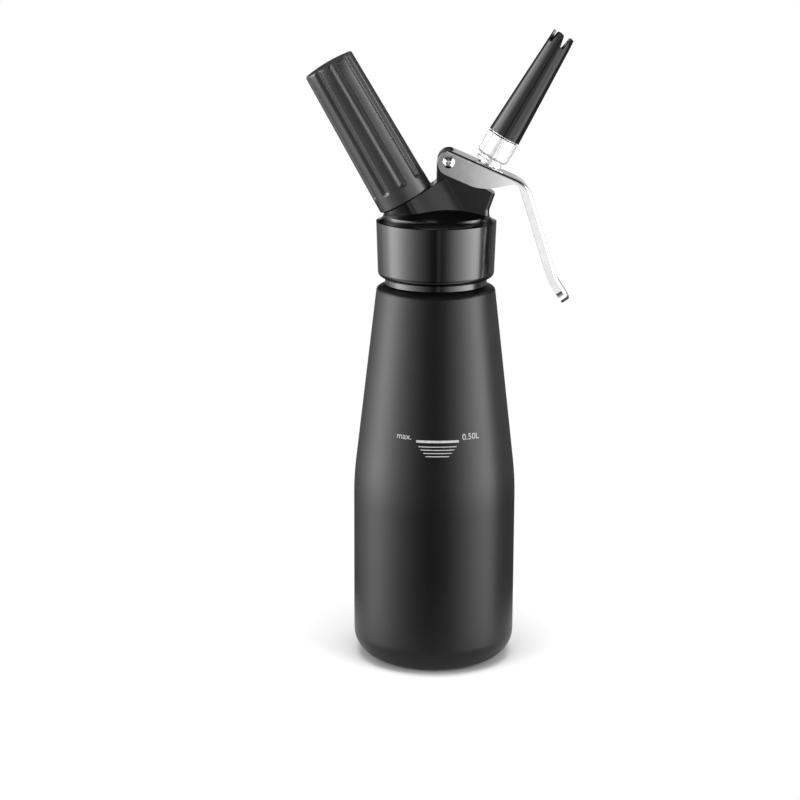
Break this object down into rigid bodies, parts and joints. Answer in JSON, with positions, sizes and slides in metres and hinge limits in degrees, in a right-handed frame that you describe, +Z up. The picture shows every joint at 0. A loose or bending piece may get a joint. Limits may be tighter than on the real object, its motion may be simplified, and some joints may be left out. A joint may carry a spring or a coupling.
{
  "type": "whipped cream dispenser",
  "caption": "Pressure bottle with a screw-on Y-shaped head: a fluted charger holder on one arm, and a lever-operated valve with a toothed nozzle on the other.",
  "frame": {"origin": "centre of the bottle's foot, on the plane it stands on", "axes": "+Z up along the bottle's axis; the charger holder leans to -X, the valve and the lever to +X; -Y is the side of the pivot screw's cross head"},
  "size_m": [0.1278, 0.0804, 0.3125],
  "materials": {
    "bottle_coat": "matte black powder coat",
    "head_coat": "satin black powder coat",
    "holder_plastic": "satin",
    "tip_plastic": "gloss",
    "lever_steel": "polished",
    "adapter_steel": "polished",
    "pivot_chrome": "polished",
    "valve_steel": "satin",
    "charger_steel": "satin",
    "liner_metal": "satin",
    "bush_brass": "satin",
    "seal_rubber": "matte",
    "gasket_silicone": "matte"
  },
  "bodies": {
    "bottle": {"bottle": "bottle_coat"},
    "head": {"head_body": "head_coat", "head_gasket": "gasket_silicone", "charger_pin": "valve_steel", "charger_seal": "seal_rubber", "check_valve": "seal_rubber", "valve_bush": "bush_brass", "valve_spring": "valve_steel", "pivot_screw": "pivot_chrome", "pivot_nut": "pivot_chrome"},
    "charger": {"gas_charger": "charger_steel"},
    "holder": {"holder_shell": "holder_plastic", "holder_liner": "liner_metal"},
    "lever": {"lever": "lever_steel"},
    "valve": {"valve_stem": "valve_steel", "stem_o_ring": "seal_rubber", "valve_seal": "seal_rubber", "seal_nut": "valve_steel", "lever_washer": "adapter_steel", "tip_adapter": "adapter_steel", "tip_gasket": "seal_rubber"},
    "tip": {"decorating_tip": "tip_plastic", "tip_insert": "adapter_steel"}
  },
  "joints": [
    {"name": "head_lift", "type": "slide", "parent": "bottle", "child": "head", "axis": [0, 0, 1], "range_m": [0, 0.06]},
    {"name": "charger_travel", "type": "slide", "parent": "head", "child": "charger", "axis": [-0.5, 0, 0.866], "range_m": [0, 0.0105]},
    {"name": "holder_turn", "type": "hinge", "parent": "charger", "child": "holder", "pos_m": [0, 0, 0.2055], "axis": [-0.5, 0, 0.866], "range_deg": [0, 2520]},
    {"name": "lever_squeeze", "type": "hinge", "parent": "head", "child": "lever", "pos_m": [0.0055, 0, 0.2499], "axis": [0, 1, 0], "range_deg": [0, 9]},
    {"name": "valve_press", "type": "slide", "parent": "head", "child": "valve", "axis": [-0.5, 0, -0.866], "range_m": [0, 0.00274], "stiffness_N_per_m": 3000, "springref_m": -0.004, "deforming": ["valve_spring"]},
    {"name": "tip_off", "type": "slide", "parent": "valve", "child": "tip", "axis": [0.5, 0, 0.866], "range_m": [0, 0.02]}
  ],
  "couplings": [
    {"joint": "holder_turn", "follows": "charger_travel", "rad_per_m": 4188.8},
    {"joint": "lever_squeeze", "follows": "valve_press", "rad_per_m": 57.3}
  ]
}
